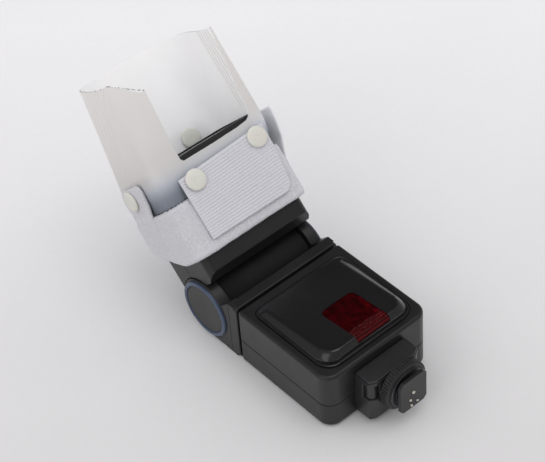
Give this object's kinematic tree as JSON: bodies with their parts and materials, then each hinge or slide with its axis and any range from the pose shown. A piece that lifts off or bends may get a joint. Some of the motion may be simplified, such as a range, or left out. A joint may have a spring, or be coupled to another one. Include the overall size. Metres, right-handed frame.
{
  "type": "speedlight flash",
  "caption": "Shoe-mount speedlight flash with a tilting, swivelling zoom head, battery door and a strap-on frosted tube diffuser.",
  "frame": {"origin": "on the flat of the shoe foot's sole, at the body's centre plane, 1.5 mm beside the centre contact", "axes": "+X out of the sole (camera side), +Z out of the front face with the red lamp window, +Y towards the battery door; the flash lies on its back with the head leaning 45 degrees forward"},
  "size_m": [0.2309, 0.091, 0.1329],
  "materials": {
    "body_black": "satin moulded",
    "hood_black": "gloss",
    "matte_black": "matte",
    "red_window": "transparent gloss",
    "blue_ring": "satin",
    "steel": "brushed",
    "gold": "plated",
    "snap_cream": "satin",
    "loop_cloth": "brushed loop",
    "ribbed_tab": "ribbed",
    "frosted_sheet": "frosted translucent",
    "clear_lens": "ribbed clear",
    "silver": "bright",
    "circuit": "satin",
    "copper": "enamelled wire",
    "cell_jacket": "gloss",
    "lcd": "satin",
    "light_grey": "satin"
  },
  "bodies": {
    "flash_body": {"front_shell": "body_black", "back_shell": "body_black", "front_hood_panel": "hood_black", "af_assist_window": "red_window", "af_lamp": "red_window", "main_board": "circuit", "main_capacitor": "matte_black", "transformer": "copper", "battery_tray": "matte_black", "aa_cell_1": "cell_jacket", "aa_cell_2": "cell_jacket", "aa_cell_3": "cell_jacket", "aa_cell_4": "cell_jacket", "battery_contacts_head_end": "steel", "battery_contacts_foot_end": "steel", "lcd_window": "clear_lens", "lcd_panel": "lcd", "casing_screw_1": "steel", "casing_screw_2": "steel", "shoe_module": "body_black", "shoe_module_plate": "body_black", "shoe_foot": "body_black", "door_hinge_pin": "steel"},
    "neck": {"neck_yoke": "body_black", "swivel_collar": "steel", "tilt_axle": "steel", "pivot_cap_left": "matte_black", "pivot_cap_right": "matte_black", "pivot_ring_left": "blue_ring", "pivot_ring_right": "blue_ring"},
    "head": {"head_front_shell": "body_black", "head_rear_shell": "body_black", "head_hinge_barrel": "matte_black", "fresnel_lens": "clear_lens", "zoom_motor": "steel"},
    "zoom_carriage": {"reflector": "silver", "flash_tube": "clear_lens"},
    "zoom_screw": {"zoom_lead_screw": "steel"},
    "diffuser": {"diffuser_sheet": "frosted_sheet", "loop_strap": "loop_cloth", "closure_tab": "ribbed_tab", "snap_front_left": "snap_cream", "snap_front_right": "snap_cream", "snap_left": "snap_cream", "snap_right": "snap_cream", "snap_back": "snap_cream"},
    "locking_ring": {"lock_ring": "matte_black"},
    "clamp": {"clamp_plate": "light_grey"},
    "contact_pins": {"contact_pin_1": "gold", "contact_pin_2": "gold", "contact_pin_3": "gold", "contact_pin_4": "gold"},
    "battery_cover": {"battery_door": "body_black"},
    "cover_latch": {"door_latch": "matte_black"},
    "switch_slider": {"power_switch": "matte_black"},
    "mode_key": {"mode_button": "matte_black"},
    "zoom_key": {"zoom_button": "matte_black"},
    "test_key": {"test_button": "matte_black"}
  },
  "joints": [
    {"name": "neck_swivel", "type": "hinge", "parent": "flash_body", "child": "neck", "pos_m": [-0.0935, 0, -0.0025], "axis": [1, 0, 0], "range_deg": [-90, 90]},
    {"name": "head_tilt", "type": "hinge", "parent": "neck", "child": "head", "pos_m": [-0.1211, 0, -0.0025], "axis": [0, 1, 0], "range_deg": [-45, 30]},
    {"name": "diffuser_slide", "type": "slide", "parent": "head", "child": "diffuser", "axis": [-0.7071, 0, 0.7071], "range_m": [0, 0.06]},
    {"name": "zoom_carriage_slide", "type": "slide", "parent": "head", "child": "zoom_carriage", "axis": [-0.7071, 0, 0.7071], "range_m": [0, 0.01201]},
    {"name": "zoom_screw_turn", "type": "hinge", "parent": "head", "child": "zoom_screw", "pos_m": [-0.1508, 0.0275, 0.01518], "axis": [-0.7071, 0, 0.7071], "range_deg": [0, 1440]},
    {"name": "lock_ring_turn", "type": "hinge", "parent": "flash_body", "child": "locking_ring", "pos_m": [-0.0072, 0.0013, -0.0008], "axis": [1, 0, 0], "range_deg": [0, 360]},
    {"name": "clamp_plate_slide", "type": "slide", "parent": "flash_body", "child": "clamp", "axis": [1, 0, 0], "range_m": [0, 0.0007]},
    {"name": "contact_pin_press", "type": "slide", "parent": "flash_body", "child": "contact_pins", "axis": [-1, 0, 0], "range_m": [0, 0.0005]},
    {"name": "battery_door_hinge", "type": "hinge", "parent": "flash_body", "child": "battery_cover", "pos_m": [-0.058, 0.035, 0.012], "axis": [1, 0, 0], "range_deg": [0, 110]},
    {"name": "door_latch_slide", "type": "slide", "parent": "battery_cover", "child": "cover_latch", "axis": [1, 0, 0], "range_m": [0, 0.003]},
    {"name": "power_switch_slide", "type": "slide", "parent": "flash_body", "child": "switch_slider", "axis": [0, 1, 0], "range_m": [0, 0.006]},
    {"name": "mode_button_press", "type": "slide", "parent": "flash_body", "child": "mode_key", "axis": [0, 0, 1], "range_m": [0, 0.0008]},
    {"name": "zoom_button_press", "type": "slide", "parent": "flash_body", "child": "zoom_key", "axis": [0, 0, 1], "range_m": [0, 0.0008]},
    {"name": "test_button_press", "type": "slide", "parent": "flash_body", "child": "test_key", "axis": [0, 0, 1], "range_m": [0, 0.0008]}
  ],
  "couplings": [
    {"joint": "clamp_plate_slide", "follows": "lock_ring_turn", "m_per_rad": 0.00011}
  ]
}
